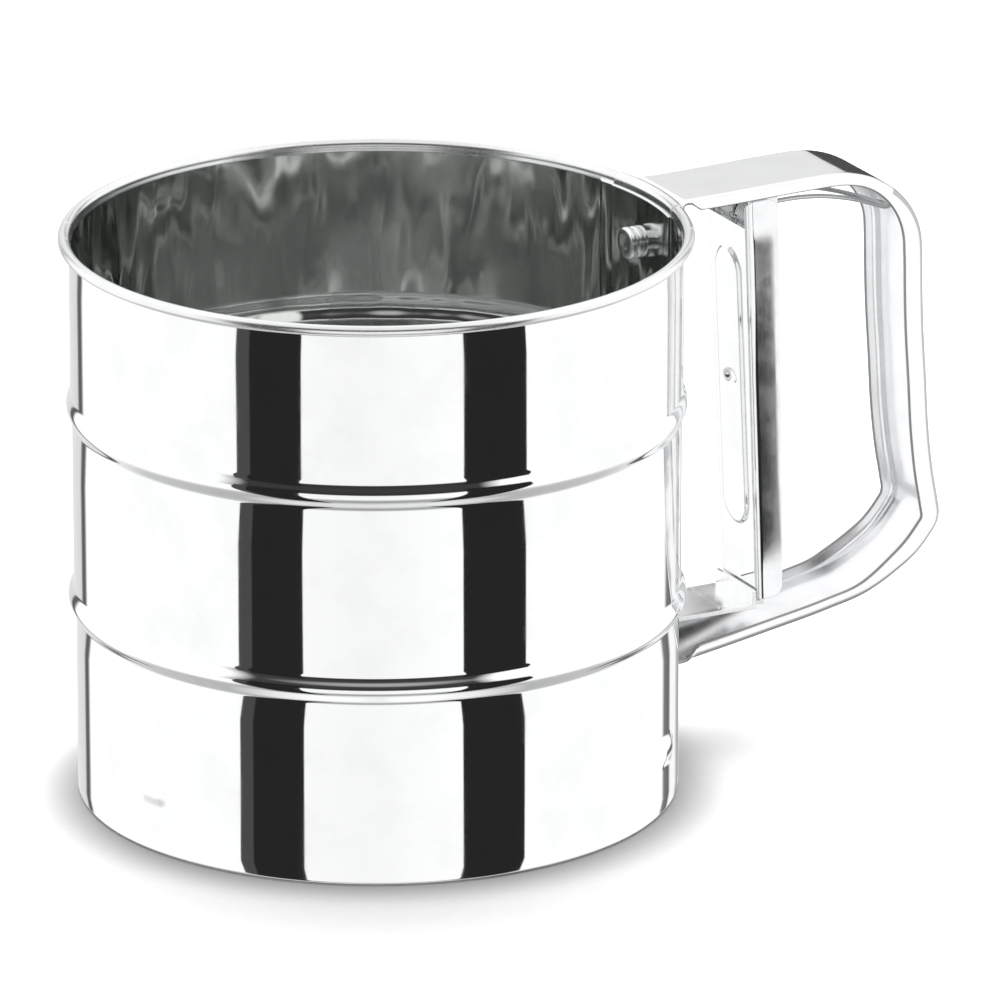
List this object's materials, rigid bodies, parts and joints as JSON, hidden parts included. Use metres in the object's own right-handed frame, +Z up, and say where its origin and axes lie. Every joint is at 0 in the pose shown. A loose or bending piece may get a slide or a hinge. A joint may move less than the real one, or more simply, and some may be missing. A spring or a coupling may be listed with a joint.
{
  "type": "flour sifter",
  "caption": "Cylindrical stainless flour sifter with a loop handle, a sprung squeeze trigger and a link that turns a bladed agitator over a wire mesh.",
  "frame": {"origin": "centre of the open base, at the plane the sifter stands on, on the cup's axis", "axes": "+X along the handle, +Z up out of the mouth, +Y to the left of the handle seen from the cup"},
  "size_m": [0.1915, 0.1296, 0.1188],
  "materials": {
    "cup_steel": "mirror-polished stainless steel",
    "handle_steel": "mirror-polished stainless steel",
    "lever_steel": "mirror-polished stainless steel",
    "inner_steel": "plain stamped stainless steel",
    "rivet_steel": "bright stainless steel",
    "wire_steel": "drawn stainless wire",
    "mesh_wire": "woven stainless wire",
    "agitator_steel": "plain stamped stainless steel"
  },
  "bodies": {
    "cup": {"cup_shell": "cup_steel", "rim_wire": "wire_steel", "sieve_ring": "inner_steel", "sieve_mesh": "mesh_wire", "mesh_clamp_ring": "inner_steel", "cross_bar": "inner_steel", "cross_bar_rivets": "rivet_steel", "pivot_post": "rivet_steel", "pivot_washer_lower": "inner_steel", "pivot_washer_upper": "inner_steel", "pivot_nut": "rivet_steel", "slot_plate": "inner_steel", "handle_strap": "handle_steel", "upper_handle_rivet": "rivet_steel", "lower_handle_rivets": "rivet_steel", "hinge_bracket": "inner_steel", "hinge_pin": "rivet_steel", "hinge_pin_clip": "wire_steel", "return_spring": "wire_steel"},
    "trigger": {"trigger_lever": "lever_steel"},
    "link": {"drive_link": "inner_steel"},
    "agitator": {"agitator_hub": "agitator_steel", "agitator_blade_1": "agitator_steel", "agitator_blade_2": "agitator_steel", "agitator_blade_3": "agitator_steel", "agitator_blade_4": "agitator_steel", "drive_arm": "agitator_steel", "drive_pin": "rivet_steel", "drive_pin_clip": "wire_steel"}
  },
  "joints": [
    {"name": "trigger_hinge", "type": "hinge", "parent": "cup", "child": "trigger", "pos_m": [0.085, 0, 0.1105], "axis": [0, -1, 0], "range_deg": [0, 10], "stiffness_Nm_per_rad": 1.2, "springref_deg": -9.74, "deforming": ["return_spring"]},
    {"name": "link_slide", "type": "slide", "parent": "cup", "child": "link", "axis": [1, 0, 0], "range_m": [0, 0.01428]},
    {"name": "agitator_turn", "type": "hinge", "parent": "cup", "child": "agitator", "pos_m": [0, 0, 0.02], "axis": [0, 0, 1], "range_deg": [0, 40]}
  ],
  "couplings": [
    {"joint": "link_slide", "follows": "trigger_hinge", "m_per_rad": 0.08178},
    {"joint": "agitator_turn", "follows": "trigger_hinge", "ratio": 4}
  ]
}
